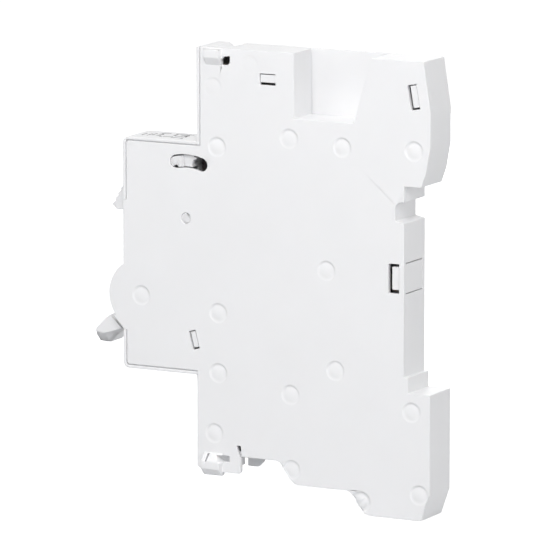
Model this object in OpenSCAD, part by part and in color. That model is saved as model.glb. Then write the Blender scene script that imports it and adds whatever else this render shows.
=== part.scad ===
// Half-module auxiliary contact for a rail-mounted circuit breaker.
// X is the width (+X is the side that meets the breaker), Y runs from the front (-Y)
// to the mounting rail (+Y), Z is up. The origin is the centre of the rail seat.

/* [Case] */
// Width of the case, side face to side face
case_w = 8.85; // [8.5:0.05:9.2]
// Height of the case above the rail centre
top_z = 41.8; // [41:0.1:44]
// Depth of the lowest foot below the rail centre
foot_z = 45.24; // [44.5:0.05:47]
// Distance from the rail face to the shoulder of the case
shoulder_y = 44; // [43.5:0.1:46]
// Distance from the rail face to the front of the nose
nose_y = 60.05; // [59:0.05:61]
// Height of the nose
nose_h = 45; // [44.5:0.1:46]
// Height of the nose's middle above the rail centre
nose_mid = 1.1; // [0.8:0.1:1.4]
// Thickness of the outer walls
wall = 0.9; // [0.8:0.05:1]
// Thickness of the side cover
cover_t = 0.9; // [0.8:0.05:1]
// Thickness of the case rim that frames the cover
rim_t = 0.6; // [0.5:0.05:0.8]
// Gap between the cover and the case
seam = 0.2; // [0.1:0.02:0.24]
// Radius of the nose's front corners
nose_r = 1.2; // [0.9:0.05:1.5]

/* [Rail seat] */
// Depth of the blocks behind the rail face
block_y = 5.5; // [5:0.1:6]
// Upper edge of the rail seat above the rail centre
seat_top = 18.15; // [18:0.05:18.4]
// Lower edge of the rail seat below the rail centre
seat_low = 18.1; // [18:0.05:18.4]
// Depth of the ledge below the seat
ledge_y = 0.93; // [0.7:0.05:1.2]
// Height of the ledge below the seat
ledge_h = 2.95; // [2.6:0.05:3.2]
// Depth of the groove in the rail face
groove_d = 1.9; // [1.6:0.1:2.2]
// Height of the groove in the rail face
groove_h = 4; // [3.6:0.1:4.4]
// Middle of the groove above the rail centre
groove_z = 13.1; // [12.9:0.1:13.3]
// Drop of the groove's lower face towards the rail
groove_fall = 0.4; // [0.2:0.05:0.6]
// Height of the cover's tab across the rail face
tab_h = 5.95; // [5:0.05:6.4]
// Middle of that tab above the rail centre
tab_z = 0.58; // [0.3:0.02:0.8]

/* [Stepped foot] */
// Rise of each step of the foot
step_rise = 4.34; // [4.2:0.02:4.5]
// Depth of the lowest step's front end
step_1_y = 7.5; // [7.2:0.1:7.8]
// Depth of the middle step's front end
step_2_y = 22.5; // [22.2:0.1:22.8]
// Length of the curve between two steps
step_curve = 4.5; // [4:0.1:4.7]

/* [Pocket] */
// Width of the busbar pocket at its floor
pocket_w = 12.65; // [12:0.05:13]
// Front wall of the pocket, from the rail face
pocket_y = 23.23; // [23:0.05:23.5]
// Floor of the pocket above the rail centre
pocket_z = 29.33; // [29:0.05:29.6]
// Lean of the pocket's rear wall at the top
pocket_lean = 3.95; // [3.5:0.05:4.3]
// Thickness of the web left behind the pocket
pocket_web = 0.78; // [0.7:0.02:0.9]
// Width of the undercut where the pocket's walls meet that web
undercut_w = 0.8; // [0.5:0.05:1]
// Depth of that undercut
undercut_d = 0.35; // [0.2:0.05:0.45]

/* [Cover pins] */
// Radius of the round recess over each pin
dish_r = 2.1; // [2:0.02:2.2]
// Depth of that recess
dish_d = 0.35; // [0.25:0.05:0.4]
// Radius of the cover's moulded pins
peg_r = 1.2; // [1.1:0.05:1.3]
// Clearance of the pins in their sockets
peg_fit = 0.05; // [0.03:0.01:0.08]
// Wall of the sockets
socket_wall = 0.7; // [0.6:0.05:0.75]

/* [Handle] */
// Distance of the handle's axis from the rail face
hub_y = 56.15; // [56:0.05:56.3]
// Height of the handle's axis below the rail centre
hub_z = 6.99; // [6.8:0.05:7.2]
// Radius of the cheeks beside the handle
cheek_r = 7.05; // [6.9:0.05:7.2]
// Radius of the handle's drum
drum_r = 6.3; // [6.1:0.05:6.4]
// Radius of the tip of the handle
tip_r = 14.1; // [13.5:0.1:14.6]
// Swing of the handle, down to up
swing = 70; // [64:1:74]
// Gap between the handle's drum and the side walls
drum_gap = 0.325; // [0.25:0.025:0.5]
// Radius of the handle's steel pin
pin_r = 1; // [0.9:0.05:1.05]
// Clearance of what turns on a pin
turn_fit = 0.05; // [0.03:0.01:0.08]
// Radius of the crank pin's circle
crank_r = 2.4; // [2.3:0.05:2.45]
// Radius of the crank pin
crank_pin_r = 0.7; // [0.6:0.05:0.75]

/* [Coupling lever] */
// Distance of the lever's pivot from the rail face
lever_y = 46.33; // [46.2:0.05:46.4]
// Distance of the slot's middle line from the top of the nose
slot_edge = 3.92; // [3.8:0.02:4]
// Middle radius of the curved slot
slot_r = 10.97; // [10.8:0.02:11.1]
// Width of the curved slot
slot_w = 2.6; // [2.4:0.05:2.7]
// Length of the lever's rear arm
arm_r = 12.6; // [12.2:0.1:13]
// Radius of the lever's journals
journal_r = 1; // [0.9:0.05:1.05]

/* [Test button] */
// Travel of the test button
test_travel = 3; // [2.5:0.1:3.1]
// Top of the test button above the rail centre
test_top = 13.9; // [13.7:0.1:14.1]
// Height of the test button
test_h = 5; // [4.8:0.1:5.2]
// Width of the test button
test_w = 4; // [3.6:0.1:4.4]
// Reach of the test button in front of the nose
test_out = 3.65; // [3.4:0.05:4]

/* [Terminals] */
// Height of the lowest screw below the rail centre
screw_z = 33.3; // [33.1:0.05:33.4]
// Wall between two screwdriver channels
bore_web = 0.79; // [0.7:0.01:0.9]
// Clearance of a screw's head in its channel
head_fit = 0.15; // [0.1:0.05:0.2]
// Length of a screw's head
head_l = 1.8; // [1.6:0.1:2]
// Wall of the screwdriver channels
tube_wall = 0.5; // [0.45:0.05:0.55]
// Radius of the wire entries
wire_r = 2.1; // [1.9:0.05:2.2]
// Travel of a clamp when its screw is turned down
clamp_travel = 2; // [1.6:0.1:2.1]
// Height of a clamp
clamp_h = 3.8; // [3.6:0.1:3.9]
// Thickness of the brass bars
bar_t = 0.7; // [0.6:0.05:0.75]
// Gap between the bars and the case wall
bar_gap = 0.12; // [0.1:0.01:0.2]
// Gap between the bars and what stands beside them
side_gap = 0.25; // [0.2:0.05:0.3]

/* [Contacts] */
// Distance of the contacts from the rail face
contact_y = 31.2; // [31:0.1:31.4]
// Distance of the blade's pivot from the rail face
blade_y = 12; // [11.8:0.1:12.2]
// Depth of the blade below the rail centre
blade_z = 9.5; // [9.4:0.05:9.6]
// Thickness of the blade
blade_t = 0.4; // [0.3:0.05:0.5]
// Radius of the contact tips
contact_r = 1.2; // [1.1:0.05:1.3]
// Height of the contact tips
contact_t = 0.6; // [0.5:0.05:0.65]

/* [Hidden] */
$fn = 48;

x_far = -case_w / 2;
x_near = case_w / 2;
x_floor = x_far + wall;
x_cover = x_near - cover_t;
nose_top = nose_mid + nose_h / 2;
nose_low = nose_mid - nose_h / 2;
step_low = -foot_z;
step_mid = -foot_z + step_rise;
step_up = -foot_z + 2 * step_rise;
skin = 0.2;
weld = 0.1;

// The upper block bulges back over the rail; the lower one has a cut corner
upper_curve = [[3.9, top_z], [5.35, 32.5], [block_y - 0.13, 26], [4.5, 21], [3.5, seat_top]];
low_rise = 4.94;
low_corner = [3.77, foot_z - low_rise];

// Insets each corner of the side outline towards the inside by g
function inset(p, d, g) = [p[0] + d[0] * g, p[1] + d[1] * g];
function riser(y, z, n) = [for (k = [0:n]) let(t = k / n)
    [y - step_curve * t, z + step_rise * (1 - cos(180 * t)) / 2]];
function side_points(g) = concat(
    [
        inset([-nose_y, nose_top], [1, -1], g),
        inset([-shoulder_y, nose_top], [1, -1], g),
        inset([-shoulder_y, top_z], [1, -1], g),
        inset(upper_curve[0], [-1, -1], g),
        inset(upper_curve[1], [-1, 0], g),
        inset(upper_curve[2], [-1, 0], g),
        inset(upper_curve[3], [-1, 0], g),
        inset(upper_curve[4], [-1, 1], g),
        inset([0, seat_top], [-1, 1], g),
        inset([0, -seat_low], [-1, -1], g),
        inset([ledge_y, -seat_low], [-1, -1], g),
        inset([ledge_y, -seat_low - ledge_h], [-1, -1], g),
        inset([block_y, -seat_low - ledge_h], [-1, -1], g),
        inset([block_y, -low_corner[1]], [-1, 0.2], g),
        inset([low_corner[0], step_low], [-0.8, 1], g)
    ],
    [for (p = riser(-step_1_y, step_low, 6)) inset(p, [0.3, 1], g)],
    [for (p = riser(-step_2_y, step_mid, 6)) inset(p, [0.3, 1], g)],
    [
        inset([-shoulder_y, step_up], [1, 1], g),
        inset([-shoulder_y, nose_low], [1, 1], g),
        inset([-nose_y, nose_low], [1, 1], g)
    ]);

// Where the cover's pins reach through to sockets, and where they are only short stubs
deep_pegs = [
    [-40.49, 34.26], [-39.63, 22.85], [-24.27, 25.47], [-13.07, 24.56], [1.96, 24.89],
    [-16.35, 0.92], [-39.41, -9.07], [-14.37, -18.06], [1.66, -24.63], [-23.68, -38.03],
    [-8.97, -42.76]
];
stub_pegs = [
    [-39.41, -20.69], [-23.93, -23.54], [-40.28, -32.44], [3.3, -40.34], [-32.59, 38.9]
];
stub_l = 0.8;
dish_slope = 0.3;
pad_r1 = dish_r - 0.9;
pad_r2 = dish_r - 1.1;
pad_low = 0.1;
socket_drop = 2.5;
socket_end = x_cover - socket_drop;
peg_room = 2;
peg_end = x_floor + peg_room;

// Snap windows: centre, width, height and turn
windows = [[-28.8, 36.41, 3.4, 2.2, 0], [1.9, 35.07, 1.9, 4.75, 10],
    [-2.12, 0.54, 2.25, 5.65, 0], [-44.62, -14.7, 1.55, 3.65, 15]];
// Gaps round the catch in each window: front, rear, below and above
catch_gaps = [[0.12, 0.06, 0.5, 0.2], [0.5, 0.15, 0.35, 0.2],
    [0.7, 0.12, 0.7, 0.6], [0.35, 0.25, 0.35, 0.2]];
catch_sink = 0.2;

// Handle geometry, at rest with its tip down
rest_turn = swing / 2;
paddle_x = x_cover - drum_gap;
skirt_t = 1.1;
skirt_a0 = 138;
skirt_a1 = 312;
hub_room = 0.2;
pin_sink = 0.4;
pin_wall = 0.6;
seat_h = 0.425;
coil_r = 3;
coil_wire = 0.18;
coil_l = 2;
coil_room = 0.9;
// The opening in front of the drum, below and above the axis
mouth_low = 9.2;
mouth_top = 5.2;
slide_lift = 2 * crank_r * sin(swing / 2);
crank_y = -hub_y + crank_r * cos(swing / 2);
crank_z = -hub_z + crank_r * sin(swing / 2);

// Coupling lever, at rest with its pad at the front of the slot
lever_turn = 2 * asin(slide_lift / 2 / arm_r);
arm_turn = lever_turn / 2;
lever_z = nose_top - slot_edge - slot_r;
drive_y = -lever_y + arm_r * cos(arm_turn);
drive_z = lever_z + arm_r * sin(arm_turn);
drive_r = 0.6;
slot_front = 18;
slot_cap = asin(slot_w / 2 / slot_r);
pad_fit = 0.15;
pad_rear = 9.4;
slot_overlap = 4.3;
slot_rear = pad_rear + lever_turn + slot_cap - slot_overlap;
// The pad's raised front part, its lower rear part and the seat of the breaker's pin in its end
pad_step = -3.5;
pad_slim = 0.3;
pad_narrow = 6.5;
pin_seat_a = 11.8;
pin_seat_in = 0.45;
pin_seat_r = 1.15;
pad_notch_a = -12.8;
pad_notch_r = 0.55;
boss_wall = 1.2;
boss_h = 1.2;
pad_sink = 0.1;
pad_drop = 0.65;
arm_end = 1.1;
arm_root = 1.5;

// From the cover inwards: the slide, a gap, and the lever's plate beside the drum
slide_t = 1.4;
slide_gap = 0.2;
plate_t = 1.5;
slide_x1 = x_cover - 0.625;
slide_x0 = slide_x1 - slide_t;
plate_x1 = slide_x0 - slide_gap;
plate_x0 = plate_x1 - plate_t;
drum_face = plate_x1;

// Transfer slide
web_low = -3.8;
web_top = -0.2;
leg_y0 = drive_y - 1.7;
leg_y1 = drive_y + 1.5;
eye_over = 2.1;
fork_y0 = 0.7;
fork_y1 = 1.2;
fork_y2 = 3.2;
fork_half = 1.8;
fork_fit = 0.1;
drive_fit = 0.25;
foot_y = -36.05;
foot_r = 0.5;
guide_t = 1;
guide_gap = 0.125;
guide_rise = 0.8;
guide_drop = 4.1;

// Terminals, from the front one to the rear one
wire_y = [-30.4, -17.3, -3.3];
step_z = [step_up, step_mid, step_low];
lip_t = 0.6;
bar_y0 = -2.3;
nut_t = 1.2;
nut_gap = 1.7;
jaw_t = 0.8;
wire_rest = 0.8;
head_gap = 0.85;
clamp_front = bar_y0 - nut_gap - nut_t;
clamp_rear = bar_y0 + bar_t + clamp_travel + wire_rest + jaw_t;
head_back = clamp_travel + head_gap - clamp_front;
strip_x0 = x_floor + bar_gap;
strip_x1 = strip_x0 + bar_t;
strip_w = 3;
// Clamps and channels fill the width beside the strips, and set the screws' size and pitch
clamp_x = -strip_x1 - side_gap;
clamp_wall = 0.6;
tab_x = clamp_x - clamp_wall - 0.055;
tube_r = clamp_x;
channel_r = tube_r - tube_wall;
head_r = channel_r - head_fit;
shank_r = head_r * 2 / 3;
shank_fit = 0.15;
screw_pitch = 2 * channel_r + bore_web;
tip_l = 0.36;
tip_gap = 0.05;
cross_w = 0.6;
cross_d = 0.9;
function term_z(i) = -screw_z + i * screw_pitch;

// Contacts
blade_top = -blade_z + blade_t / 2;
blade_low = -blade_z - blade_t / 2;
blade_w = 3.2;
eye_r = 0.65;
eye_wall = 0.5;
pin_end = x_cover - 1.125;
blade_end = foot_y - 0.85;
push_r = -blade_y - foot_y;
blade_turn = asin(slide_lift / push_r);
touch = 0.05;
contact_drop = (contact_y - blade_y + contact_r) * sin(blade_turn);
closing_gap = 0.1;
closing_top = blade_low - contact_t - contact_drop - closing_gap;
spring_l = 6.8;
spring_r = 1.3;
spring_wire = 0.18;
spring_fit = 0.02;
seat_z = blade_low - spring_l;
seat_half = 2;
seat_t = 2;
spring_y = -26;

// Test button, its plate behind the window and the spring below its arm
test_y = -nose_y + wall + 0.15;
plate_depth = 0.9;
plate_side = 0.7;
plate_over = 3.3;
plate_under = 2.8;
thumb_top = 1.4;
thumb_low = 2.7;
thumb_round = 0.3;
ridges = 4;
ridge_d = 0.35;
ridge_lean = 0.2;
test_fit = 0.15;
test_arm_x = 1.6;
test_arm_t = 1.2;
test_arm_z = test_top - test_h + 0.1;
test_spring_in = 5.15;
test_spring_y = -nose_y + test_spring_in;
test_spring_l = 7.8;
test_spring_r = 1.2;
test_spring_z = test_arm_z - test_spring_l;

// Draws a flat outline in Y and Z, and gives it a thickness along X
module slab(x0, x1) {
    translate([x0, 0, 0]) rotate([90, 0, 90]) linear_extrude(height = x1 - x0) children();
}
module box(x0, x1, y0, y1, z0, z1) {
    translate([x0, y0, z0]) cube([x1 - x0, y1 - y0, z1 - z0]);
}
module rod_x(y, z, r, x0, x1) {
    translate([x0, y, z]) rotate([0, 90, 0]) cylinder(r = r, h = x1 - x0);
}
module rod_y(x, z, r, y0, y1) {
    translate([x, y0, z]) rotate([-90, 0, 0]) cylinder(r = r, h = y1 - y0);
}
module rod_z(x, y, r, z0, z1) {
    translate([x, y, z0]) cylinder(r = r, h = z1 - z0);
}

// A round wire coil along +Z, closed at both ends
coil_steps = 14;
coil_sides = 6;
module coil(r, wire, length, turns) {
    n = turns * coil_steps;
    close = 2.1 * wire;
    rise = length - 2 * wire - 2 * close;
    // Height along the wire: one close turn, the open turns, one close turn
    function lift(i) = wire + close * min(1, i / coil_steps)
        + close * max(0, (i - n + coil_steps) / coil_steps)
        + rise * min(1, max(0, (i - coil_steps) / (n - 2 * coil_steps)));
    function ring(i) = [for (k = [0:coil_sides - 1])
        let(a = 360 * i / coil_steps, b = 360 * k / coil_sides, d = r + wire * cos(b))
        [d * cos(a), d * sin(a), lift(i) + wire * sin(b)]];
    points = [for (i = [0:n]) each ring(i)];
    sides = [for (i = [0:n - 1]) for (k = [0:coil_sides - 1]) let(j = (k + 1) % coil_sides)
        [i * coil_sides + k, i * coil_sides + j, (i + 1) * coil_sides + j, (i + 1) * coil_sides + k]];
    first = [for (k = [coil_sides - 1:-1:0]) k];
    last = [for (k = [0:coil_sides - 1]) n * coil_sides + k];
    polyhedron(points = points, faces = concat([first], sides, [last]), convexity = 10);
}

// The side outline of the case, with the round cheek beside the handle and the chin below it
chin_y = 6.16;
chin_z = 4.23;
chin_tip_y = 3.31;
chin_low = 7.3;
module side_outline(g = 0) {
    union() {
        difference() {
            polygon(side_points(g));
            corner_cut(nose_r - g, nose_y - g, nose_top - g, -1);
            corner_cut(nose_r - g, nose_y - g, -nose_low - g, 1);
        }
        translate([-hub_y, -hub_z]) circle(r = cheek_r - g);
        translate([-hub_y, -hub_z]) polygon([[-chin_y + g, -chin_z], [-chin_tip_y + g, -chin_low + g],
            [0, -chin_low + g], [0, -chin_z]]);
    }
}

// What a round front corner takes away: the corner lies at -y, and at -z where up is 1
module corner_cut(r, y, z, up) {
    r_in = max(r, 0.01);
    mirror([0, up < 0 ? 1 : 0]) translate([-y, -z]) difference() {
        translate([-1, -1]) square(1 + r_in);
        translate([r_in, r_in]) circle(r = r_in);
    }
}

// The strips of the side face that belong to the case rim, beside the cover
rim_break_top = 11.3;
rim_break_low = -13.9;
module rim_strips(t) {
    nose_l = nose_y - shoulder_y;
    // Round inner corners, in line with the nose's outer ones
    corner_cut(nose_r - t, nose_y - t, nose_top - t, -1);
    corner_cut(nose_r - t, nose_y - t, -nose_low - t, 1);
    translate([-nose_y - 1, nose_top - t]) square([nose_l + 1 + t, t + 1]);
    translate([-shoulder_y - 1, nose_top - t]) square([1 + t, top_z - nose_top + t + 1]);
    translate([-nose_y - 1, rim_break_top]) square([1 + t, nose_top - rim_break_top + 1]);
    translate([-nose_y - 1, nose_low - 1]) square([1 + t, rim_break_low - nose_low + 1]);
    translate([-nose_y - 1, nose_low - 1]) square([nose_l + 1 + weld, t + 1]);
}
module pocket_outline(g = 0) {
    polygon([[-pocket_y - g, top_z + 1], [-pocket_y - g, pocket_z - g],
        [-pocket_y + pocket_w + g, pocket_z - g],
        [-pocket_y + pocket_w + pocket_lean + g, top_z + 1]]);
}
module window_outline(w) {
    translate([w[0], w[1]]) rotate(w[4]) square([w[2], w[3]], center = true);
}
module catch_outline(w, gap) {
    translate([w[0], w[1]]) rotate(w[4]) translate([-w[2] / 2 + gap[0], -w[3] / 2 + gap[2]])
        square([w[2] - gap[0] - gap[1], w[3] - gap[2] - gap[3]]);
}
module groove_outline(g = 0) {
    low = groove_z - groove_h / 2 - g;
    top = groove_z + groove_h / 2 + g;
    polygon([[1, low], [0, low], [-groove_d - g, low + groove_fall], [-groove_d - g, top], [1, top]]);
}
// The cover's groove has a round upper corner
groove_round = 1.4;
module cover_groove() {
    corner = [-groove_d + groove_round, groove_z + groove_h / 2 - groove_round];
    difference() {
        groove_outline();
        translate(corner) difference() {
            translate([-2 * groove_round, 0]) square(2 * groove_round);
            circle(r = groove_round);
        }
    }
}
module slot_arc(r0, r1, a0, a1) {
    // Angles are from straight up, positive towards the rail
    translate([-lever_y, lever_z]) intersection() {
        difference() {
            circle(r = r1, $fn = 96);
            circle(r = r0, $fn = 96);
        }
        polygon([[0, 0], for (k = [0:4]) let(a = a0 + (a1 - a0) * k / 4)
            [2 * r1 * sin(a), 2 * r1 * cos(a)]]);
    }
}
module slot_end(a, g = 0) {
    translate([-lever_y + slot_r * sin(a), lever_z + slot_r * cos(a)]) circle(r = slot_w / 2 - g);
}

// Screwdriver channel i: a tube from the front face, with a lip that holds the screw's head
module channel(i) {
    rod_y(0, term_z(i), tube_r, -shoulder_y + wall / 2, wire_y[i] - head_back + lip_t);
}
module channel_bore(i) {
    rod_y(0, term_z(i), channel_r, -shoulder_y - 1, wire_y[i] - head_back);
    rod_y(0, term_z(i), shank_r + shank_fit, -shoulder_y, wire_y[i]);
}

// Ledge inside the rear rim that backs the joint with the cover
rim_root = 0.5;
web_half = 0.5;
web_in = 2.4;
tab_room = 0.2;
guide_half = 2.6;
guide_low = 3;
clamp_room = 0.6;
// The feet of the bottom clip, and the shallow hollow across the top
leg_z = 39.9;
foot_front = 44;
foot_gap = [38.3, 37.2];
foot_rear = 33.9;
foot_low = 39.95;
foot_cut = 1.1;
foot_lean = 1.6;
foot_lean_z = 37.6;
hollow_y = 39.6;
hollow_d = 0.85;
hollow_r = 2.1;
module wire_guides() {
    for (i = [1:2])
        box(-guide_half, x_cover, wire_y[i] - guide_half, wire_y[i] + guide_half,
            step_z[i], term_z(i) - clamp_h / 2 - clamp_room - 2 * (i - 1));
    for (i = [1:2])
        box(x_floor - weld, 0, wire_y[i] - guide_half, wire_y[i] + guide_half,
            step_z[i], step_z[i] + guide_low);
}
module channel_webs() {
    front = -shoulder_y + wall / 2;
    rear = wire_y[0] - head_back + lip_t;
    for (i = [0:2]) box(x_floor - weld, -tube_r / 2, front, rear, term_z(i) - web_half, term_z(i) + web_half);
    box(x_floor - weld, -tube_r / 2, wire_y[0] + web_in, wire_y[1] - strip_w - 1,
        term_z(2) - web_half, term_z(2) + web_half);
}
module slide_guides() {
    low = web_top + guide_rise;
    end = x_cover - guide_gap;
    box(x_floor - weld, end, leg_y1 + fork_fit, leg_y1 + fork_fit + guide_t, low, drive_z + 1.9);
    box(x_floor - weld, end, leg_y0 - fork_fit - guide_t, leg_y0 - fork_fit, low, drive_z - guide_drop);
}
module spring_seats() {
    box(x_floor - weld, seat_half + 0.5, spring_y - seat_half, spring_y + seat_half, seat_z - seat_t, seat_z);
    box(x_floor - weld, seat_half + 0.2, test_spring_y - seat_half - 0.3, test_spring_y + seat_half + 0.3,
        test_spring_z - 1, test_spring_z);
}
module far_feet() {
    slab(x_far, x_floor) polygon([[-foot_gap[1], step_up + 1], [-foot_rear, step_up + 1],
        [-foot_rear, -foot_low + foot_cut], [-foot_rear - foot_cut, -foot_low], [-foot_gap[1], -foot_low]]);
    slab(x_far, x_floor) polygon([[-foot_front, step_up + 1], [-foot_gap[0], step_up + 1],
        [-foot_gap[0], -foot_low], [-foot_front + foot_lean, -foot_low], [-foot_front, -foot_lean_z]]);
}
module base_shell() {
    color("whitesmoke") difference() {
        union() {
            difference() {
                slab(x_far, x_cover) side_outline();
                slab(x_floor, x_cover + 1) side_outline(wall);
            }
            // Rim that frames the cover round the nose
            slab(x_cover - rim_root, x_near) intersection() {
                side_outline();
                rim_strips(rim_t);
            }
            // Busbar pocket walls
            slab(x_far, x_cover) intersection() {
                side_outline();
                pocket_outline(wall);
            }
            // Backing of the groove in the rail face
            slab(x_far, x_cover) intersection() {
                side_outline();
                groove_outline(wall);
            }
            // Sockets for the cover's pins
            slab(x_floor - weld, socket_end) intersection() {
                side_outline();
                for (p = deep_pegs) translate(p) circle(r = peg_r + peg_fit + socket_wall);
            }
            // Boss for the lever's journal
            rod_x(-lever_y, lever_z, journal_r + wall, x_floor - weld, x_floor + boss_h);
            // Catches behind the snap windows
            for (i = [0:3])
                slab(x_floor - weld, x_near - catch_sink) catch_outline(windows[i], catch_gaps[i]);
            // Screwdriver channels and the webs that carry them
            for (i = [0:2]) channel(i);
            channel_webs();
            wire_guides();
            slide_guides();
            spring_seats();
            far_feet();
        }
        // Busbar pocket, with the undercut along its web
        slab(x_far + pocket_web, x_near + 1) pocket_outline();
        slab(x_far + pocket_web, x_far + pocket_web + undercut_w) pocket_outline(undercut_d);
        // Groove in the rail face
        slab(x_far - 1, x_near + 1) groove_outline();
        // Notch for the cover's tab
        box(x_floor, x_near + 1, -wall - tab_room, 1, tab_z - tab_h / 2, tab_z + tab_h / 2);
        // Sockets
        for (p = deep_pegs) rod_x(p[0], p[1], peg_r + peg_fit, x_floor + skin, x_cover + 1);
        // Seats for the handle's pin and the lever's journal
        rod_x(-hub_y, -hub_z, pin_r, x_far + pin_sink, x_floor + 1);
        rod_x(-lever_y, lever_z, journal_r + turn_fit, x_far + pin_sink, x_floor + boss_h + 1);
        // Front slot for the handle and window for the test button
        box(-paddle_x - 0.1, paddle_x + 0.1, -hub_y - cheek_r - 1, -nose_y + wall + 0.1,
            -hub_z - mouth_low, -hub_z + mouth_top);
        box(paddle_x, x_near + 1, -hub_y - cheek_r - 1, -nose_y + wall + 0.1,
            rim_break_low, -hub_z + mouth_top);
        box(-test_w / 2 - test_fit, test_w / 2 + test_fit, -nose_y - 1, -nose_y + wall + 0.1,
            test_top - test_h - test_travel - test_fit, test_top + test_fit);
        // Room between the cheeks for the drum
        rod_x(-hub_y, -hub_z, drum_r + hub_room, x_floor, x_near + 1);
        // Screwdriver channels and wire entries
        for (i = [0:2]) channel_bore(i);
        for (i = [0:2]) rod_z(0, wire_y[i], wire_r, step_z[i] - 1, term_z(i) - clamp_h / 2 - 0.2);
        // Shallow hollow across the top face beside the clip
        rod_x(-hollow_y, top_z + hollow_r - hollow_d, hollow_r, x_far - 1, x_near + 1);
    }
}

// Hook of a clip, from y0 to y1: a ramp from z_root, a flat, and a nose that falls back to the tip
hook_ramp = 1.5;
module hook(y0, y1, z_root, z_tip, out, nose) {
    d = z_tip < z_root ? -1 : 1;
    translate([0, y0, 0]) rotate([90, 0, 0]) mirror([0, 0, 1]) linear_extrude(height = y1 - y0)
        polygon([[x_cover, z_root], [x_near, z_root], [x_near + out, z_root + d * hook_ramp],
            [x_near + out, z_tip - d * nose], [x_near + out - nose * 2 / 3, z_tip - d * nose / 4],
            [x_near + out - nose, z_tip], [x_cover, z_tip]]);
}

// Openings of the two clips in the cover: the corners of each, front upper one first
clip_slots = [
    [[-35.5, -34.45], [-34.6, -34.45], [-34.35, -36.4], [-34.95, -36.4]],
    [[-41.6, -36.45], [-41.2, -36.45], [-41.2, -38], [-41.6, -38]],
    [[-39.6, -36.6], [-37, -36.6], [-37, -37.85], [-38.8, -37.85]],
    [[-38.7, 39.6], [-38.1, 40.2], [-36.85, 40.35], [-36.85, 39.1], [-37.3, 38.6], [-38.6, 38.55]]
];
// The hooks' front and rear ends, the root of the ramp, the tip, how far they stand out, their nose
low_hook = [-42.4, -38.5, -36.2, -40.6, 1.6, 1.4];
top_hook = [-41.9, -38.7, 38.5, 41.6, 1.1, 0.2];
leg_rear = 34.6;
leg_cut = 0.4;
leg_toe = 1.3;
toe_rise = 0.75;

module side_cover() {
    color("whitesmoke") difference() {
        union() {
            slab(x_cover, x_near) difference() {
                side_outline();
                rim_strips(rim_t + seam);
            }
            // Tab across the rail face
            box(x_floor + seam, x_near, -wall, 0, tab_z - tab_h / 2 + seam, tab_z + tab_h / 2 - seam);
            // Pins with their stubs
            for (p = deep_pegs) rod_x(p[0], p[1], peg_r, peg_end, x_cover + weld);
            for (p = stub_pegs) rod_x(p[0], p[1], peg_r, x_cover - stub_l, x_cover + weld);
            // Seat of the handle's pin
            rod_x(-hub_y, -hub_z, pin_r + pin_wall, x_cover - seat_h, x_cover + weld);
            // Leg of the bottom clip
            slab(x_cover, x_near) polygon([[-shoulder_y, step_up + 1], [-leg_rear, step_up + 1],
                [-leg_rear, -leg_z + leg_cut], [-leg_rear - leg_cut, -leg_z],
                [-shoulder_y + leg_toe, -leg_z], [-shoulder_y, -leg_z + toe_rise]]);
            // Hooks of the two clips
            for (h = [low_hook, top_hook]) hook(h[0], h[1], h[2], h[3], h[4], h[5]);
        }
        slab(x_cover - 1, x_near + 1) pocket_outline();
        slab(x_cover - 1, x_near + 1) cover_groove();
        // Curved slot and the hole for the lever's journal
        slab(x_cover - 1, x_near + 1) union() {
            slot_arc(slot_r - slot_w / 2, slot_r + slot_w / 2, -slot_front + slot_cap, slot_rear - slot_cap);
            slot_end(-slot_front + slot_cap);
            slot_end(slot_rear - slot_cap);
        }
        rod_x(-lever_y, lever_z, journal_r + turn_fit, x_cover - 1, x_near + 1);
        // Snap windows
        for (w = windows) slab(x_cover - 1, x_near + 1) window_outline(w);
        // Round recesses over the pins, each with a low pad in the middle
        for (p = concat(deep_pegs, stub_pegs, [[-hub_y, -hub_z]]))
            translate([x_near - dish_d, p[0], p[1]]) rotate([0, 90, 0]) difference() {
                cylinder(r1 = dish_r - dish_slope, r2 = dish_r, h = dish_d + 0.001);
                translate([0, 0, -0.001]) cylinder(r1 = pad_r1, r2 = pad_r2, h = dish_d - pad_low);
            }
        // Blind seat of the handle's pin
        rod_x(-hub_y, -hub_z, pin_r, x_cover - seat_h - weld, x_near - dish_d - skin);
        // Openings of the clips
        for (c = clip_slots) slab(x_cover - 1, x_near + low_hook[4] + 1) polygon(c);
    }
}

// The paddle, in the handle's own lie: u outwards from the axis, v upwards
paddle = [[drum_r - 1, -3.1], [10.4, -3.35], [tip_r - 1.9, -3.75], [tip_r - 1, -3.2], [tip_r, -2.3],
    [tip_r, -0.8], [tip_r - 0.5, -0.2], [10, 0.4], [drum_r - 1, 0.4]];
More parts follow.
